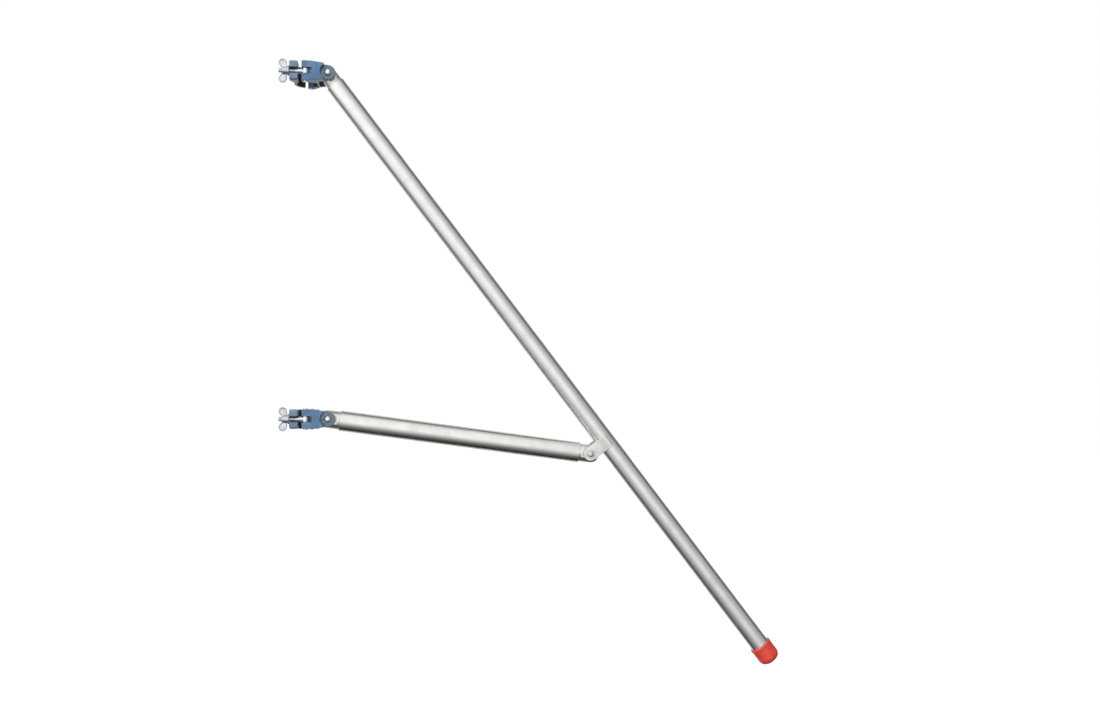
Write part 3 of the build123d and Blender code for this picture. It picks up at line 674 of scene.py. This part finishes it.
def lock_nut_mesh(pivot, outer):
    """A hexagon with chamfered corners under a rolled collar."""
    seat = outer + PIVOT_WASHER
    flats, height, collar = 19 * MM, 7 * MM, 10 * MM
    chamfer_circle = 9.4 * MM
    slope = tan(radians(30))
    segments = 96
    bm = bmesh.new()
    rings = [[] for _ in range(10)]
    for i in range(segments):
        angle = 2 * pi * i / segments
        direction = RIGHT * cos(angle) + UP * sin(angle)
        radius = hex_radius(angle, flats)
        drop = max(0.0, radius - chamfer_circle) * slope
        stations = (
            (0, 6.1 * MM),
            (0, chamfer_circle - 0.2 * MM),
            (drop, radius),
            (height - drop, radius),
            (height, chamfer_circle - 0.4 * MM),
            (height + 0.3 * MM, 8.7 * MM),
            (collar - 1.2 * MM, 8.6 * MM),
            (collar - 0.3 * MM, 8.0 * MM),
            (collar, 7.2 * MM),
            (collar - 0.8 * MM, 6.1 * MM),
        )
        for ring, (distance, reach) in zip(rings, stations):
            ring.append(bm.verts.new(pivot - FRONT * (seat + distance) + direction * reach))
    skin(bm, rings, closed_profile=True)
    return mesh_from(bm, "lock_nut")


def nylon_ring_mesh(pivot, outer):
    """The coloured insert that shows between the nut's collar and the bolt."""
    top = outer + PIVOT_WASHER + 9.3 * MM
    inner, reach = 5.9 * MM, 7.3 * MM
    profile = [(top - 2 * MM, inner), (top - 2 * MM, reach), (top, reach)]
    profile += [(top + 0.2 * MM, 6.6 * MM), (top, inner)]
    bm = bmesh.new()
    skin(bm, lathe_rings(bm, pivot, -FRONT, profile, 56), closed_profile=True)
    return mesh_from(bm, "nylon_ring")


pivots = (
    ("upper_pivot", upper_pivot, FORK_OUTER, "upper_clamp", "zinc_steel"),
    ("lower_pivot", lower_pivot, FORK_OUTER, "lower_clamp", "zinc_steel"),
    ("brace_pivot", ear_pivot, EAR_OUTER, "main_leg", "satin_steel"),
)
for pivot_name, pivot_point, clamped, body_name, look in pivots:
    finish_mesh(
        f"{pivot_name}_bolt_domed",
        pivot_bolt_mesh(pivot_point, clamped),
        body_name,
        looks[look],
        (f"{pivot_name}_bolt",),
    )
    finish_mesh(
        f"{pivot_name}_lock_nut",
        lock_nut_mesh(pivot_point, clamped),
        body_name,
        looks[look],
        (f"{pivot_name}_nut",),
    )
    finish_mesh(
        f"{pivot_name}_nylon_ring",
        nylon_ring_mesh(pivot_point, clamped),
        body_name,
        looks["nylon_ring"],
    )


# =============================================================================================
# Rivets
# =============================================================================================
def add_rivet(bm, centre):
    """A domed blind rivet seen from the back, with the broken mandrel in its middle."""
    profile = [(-6.8 * MM, 0), (-6.8 * MM, 2.9 * MM), (-0.2 * MM, 2.9 * MM), (-0.1 * MM, 4.9 * MM)]
    profile += [(0.25 * MM, 5.0 * MM), (0.8 * MM, 4.5 * MM), (1.25 * MM, 3.5 * MM)]
    profile += [(1.5 * MM, 2.4 * MM), (1.55 * MM, 1.7 * MM), (0.5 * MM, 1.45 * MM)]
    profile += [(0.45 * MM, 1.3 * MM)]
    profile += [(0.75 * MM, 1.2 * MM), (0.85 * MM, 0.5 * MM), (0.85 * MM, 0)]
    skin(bm, lathe_rings(bm, centre, -FRONT, profile, 40))


RIVET_PLACES = (15.5 * MM, 39.5 * MM)  # from the tube's end


def rivets_piece(name, ends, radius, body, node_name):
    """Two rivets at each tube end that is given as pivot, along, tube start."""
    bm = bmesh.new()
    for pivot, along, start in ends:
        for place in RIVET_PLACES:
            add_rivet(bm, pivot + along * (start + place) - FRONT * radius)
    look = looks["rivet_aluminium"]
    finish_mesh(name, mesh_from(bm, name), body, look, (node_name,))


leg_rivet_ends = [(upper_pivot, leg_along, LEG_TUBE_START)]
brace_rivet_ends = [
    (lower_pivot, brace_along, BRACE_TUBE_START),
    (ear_pivot, -brace_along, BRACE_TUBE_END),
]
rivets_piece("leg_blind_rivets", leg_rivet_ends, LEG_RADIUS, "main_leg", "leg_rivets")
rivets_piece("brace_blind_rivets", brace_rivet_ends, BRACE_RADIUS, "brace", "brace_rivets")


# =============================================================================================
# Weld beads
# =============================================================================================
def weld_beads():
    """A rippled bead along each ear's end, where the plate meets the leg."""
    length, radius, ripple = 30 * MM, 3.2 * MM, 1.9 * MM
    ear_middle, ear_end = 24.6 * MM, 56.6 * MM
    fade = 2.2 * MM
    flattening = 0.8
    steps, segments = 150, 24
    bm = bmesh.new()
    for side in (1, -1):
        corner = ear_pivot + FRONT * (ear_middle * side) + leg_across * ear_end
        origin = corner - leg_along * (length / 2)
        rings = []
        for i in range(steps + 1):
            s = length * i / steps
            end_fade = min(1.0, (min(s, length - s) + 0.05 * MM) / fade) ** 0.5
            ring = []
            for k in range(segments):
                angle = 2 * pi * k / segments
                lag = 0.35 * cos(angle - pi / 4)
                wave = (s / ripple + lag) % 1.0
                wander = noise.noise(Vector((s * 260, side * 3.0, k * 0.2)))
                reach = radius * end_fade * (0.93 + 0.1 * (1 - wave) ** 2 + 0.05 * wander)
                offset = leg_across * cos(angle) + FRONT * (side * sin(angle) * flattening)
                ring.append(bm.verts.new(origin + leg_along * s + offset * reach))
            rings.append(ring)
        skin(bm, rings)
        bm.faces.new(list(reversed(rings[0])))
        bm.faces.new(rings[-1])
    finish_mesh(
        "ear_weld_beads",
        mesh_from(bm, "ear_weld_beads"),
        "main_leg",
        looks["weld_aluminium"],
        ("ear_welds",),
    )


weld_beads()


# =============================================================================================
# Foot
# =============================================================================================
def foot_piece():
    """The rubber cap: a rounded rim, a domed body and a grooved sole."""
    sole = disc_reach + DISC_TO_SOLE
    rim_start = sole - 52 * MM
    body_radius, rim_radius, corner = 28 * MM, 29 * MM, 18 * MM
    bore = 24.2 * MM
    profile = [(sole - 10 * MM, 0), (sole - 10 * MM, bore), (rim_start + 0.8 * MM, bore)]
    profile += [(rim_start, bore + 0.8 * MM)]
    profile += arc(rim_start + 1.1 * MM, rim_radius - 1.1 * MM, 1.1 * MM, 180, 90)
    profile += arc(rim_start + 5.2 * MM, rim_radius - 1.8 * MM, 1.8 * MM, 90, 30)
    profile += [(rim_start + 7.4 * MM, body_radius - 0.1 * MM), (rim_start + 8.5 * MM, body_radius)]
    profile += arc(sole - corner, body_radius - corner, corner, 90, 12, 14)
    for groove in (8.2, 5.6, 3.0):
        profile += [(sole - 0.05 * MM, (groove + 0.8) * MM), (sole - 1.2 * MM, (groove + 0.5) * MM)]
        profile += [(sole - 1.2 * MM, (groove - 0.5) * MM), (sole - 0.02 * MM, (groove - 0.8) * MM)]
    profile += [(sole, 1.2 * MM), (sole, 0)]
    bm = bmesh.new()
    skin(bm, lathe_rings(bm, upper_pivot, leg_along, profile, 112))
    finish_mesh(
        "foot_cap_moulded",
        mesh_from(bm, "foot_cap_moulded"),
        "main_leg",
        looks["red_rubber"],
        ("foot_cap",),
    )


foot_piece()


# =============================================================================================
# Stage, light and camera
# =============================================================================================
def make_floor():
    """A wide pale floor, low enough for the leg to hang straight down, that nothing mirrors."""
    half = 30.0
    level = upper_pivot.z - disc_reach - 30 * MM
    corners = [(x * half, y * half, level) for x, y in ((-1, -1), (1, -1), (1, 1), (-1, 1))]
    mesh = bpy.data.meshes.new("floor")
    mesh.from_pydata(corners, [], [(0, 1, 2, 3)])
    floor = bpy.data.objects.new("floor", mesh)
    bpy.context.scene.collection.objects.link(floor)
    grey = (0.36, 0.36, 0.36)
    finish = Finish("floor_paint", grey, 0.0, 0.8, Emission_Strength=0.86)
    finish.set("Emission Color", (1, 1, 1, 1))
    mesh.materials.append(finish.material)
    floor.visible_glossy = False
    floor.visible_diffuse = False


def make_world():
    """A studio: white where the camera looks, and a soft tent with dark gaps for reflections."""
    world = bpy.data.worlds.new("studio")
    bpy.context.scene.world = world
    world.use_nodes = True
    nodes = world.node_tree.nodes
    links = world.node_tree.links
    nodes.clear()
    direction = nodes.new("ShaderNodeSeparateXYZ")
    links.new(nodes.new("ShaderNodeTexCoord").outputs["Generated"], direction.inputs[0])

    def ramp(axis, low, high, to_low, to_high):
        """A brightness that changes along one direction of the sky."""
        node = nodes.new("ShaderNodeMapRange")
        node.interpolation_type = "SMOOTHSTEP"
        links.new(direction.outputs[axis], node.inputs[0])
        for number, socket in zip((low, high, to_low, to_high), node.inputs[1:5]):
            socket.default_value = number
        return node.outputs[0]

    def combine(operation, first, second):
        """One Math node of two links."""
        node = nodes.new("ShaderNodeMath")
        node.operation = operation
        links.new(first, node.inputs[0])
        links.new(second, node.inputs[1])
        return node.outputs[0]

    front = ramp("Y", -0.55, 0.42, 1.5, 0.12)
    back = ramp("Y", 0.42, 0.72, 0.0, 0.85)
    below = ramp("Z", -1.05, 0.1, 0.06, 1.0)
    right = ramp("X", -0.1, 0.8, 1.0, 0.42)
    left = ramp("X", -0.9, -0.2, 1.25, 1.0)
    tent = front
    for part in (below, right, left):
        tent = combine("MULTIPLY", tent, part)
    tent = combine("ADD", tent, back)
    soft = nodes.new("ShaderNodeBackground")
    links.new(tent, soft.inputs["Strength"])
    white = nodes.new("ShaderNodeBackground")
    white.inputs["Color"].default_value = (1, 1, 1, 1)
    mix = nodes.new("ShaderNodeMixShader")
    links.new(nodes.new("ShaderNodeLightPath").outputs["Is Camera Ray"], mix.inputs[0])
    links.new(soft.outputs[0], mix.inputs[1])
    links.new(white.outputs[0], mix.inputs[2])
    links.new(mix.outputs[0], nodes.new("ShaderNodeOutputWorld").inputs[0])


def make_light(name, place, target, size, energy):
    """A square soft box."""
    light = bpy.data.lights.new(name, "AREA")
    light.size = size
    light.energy = energy
    box = bpy.data.objects.new(name, light)
    box.location = place
    box.rotation_euler = (Vector(target) - Vector(place)).to_track_quat("-Z", "Y").to_euler()
    box.visible_glossy = False
    bpy.context.scene.collection.objects.link(box)


CAMERA_PLACE = (0.29, -3.1, -0.8547)
CAMERA_YAW = radians(5.79)  # to the right
CAMERA_LENS = 40.33
CAMERA_SHIFT = 0.054545  # up, as a share of the picture's width


def make_camera():
    """Level, turned a little to the right, with the frame shifted up the object."""
    data = bpy.data.cameras.new("camera")
    data.lens = CAMERA_LENS
    data.shift_y = CAMERA_SHIFT
    camera = bpy.data.objects.new("camera", data)
    camera.location = CAMERA_PLACE
    camera.rotation_euler = (radians(90), 0, -CAMERA_YAW)
    bpy.context.scene.collection.objects.link(camera)
    bpy.context.scene.camera = camera


make_floor()
make_world()
centre = (cad_box[0] + cad_box[1]) / 2
make_light("key", (-1.2, -2.2, 1.8), centre, 1.6, 30)
make_light("back", (2.0, 2.8, 1.2), centre, 1.8, 45)
make_light("side", (-2.4, 2.0, 0.4), centre, 1.8, 25)
make_camera()
bpy.context.scene.view_settings.view_transform = "Standard"
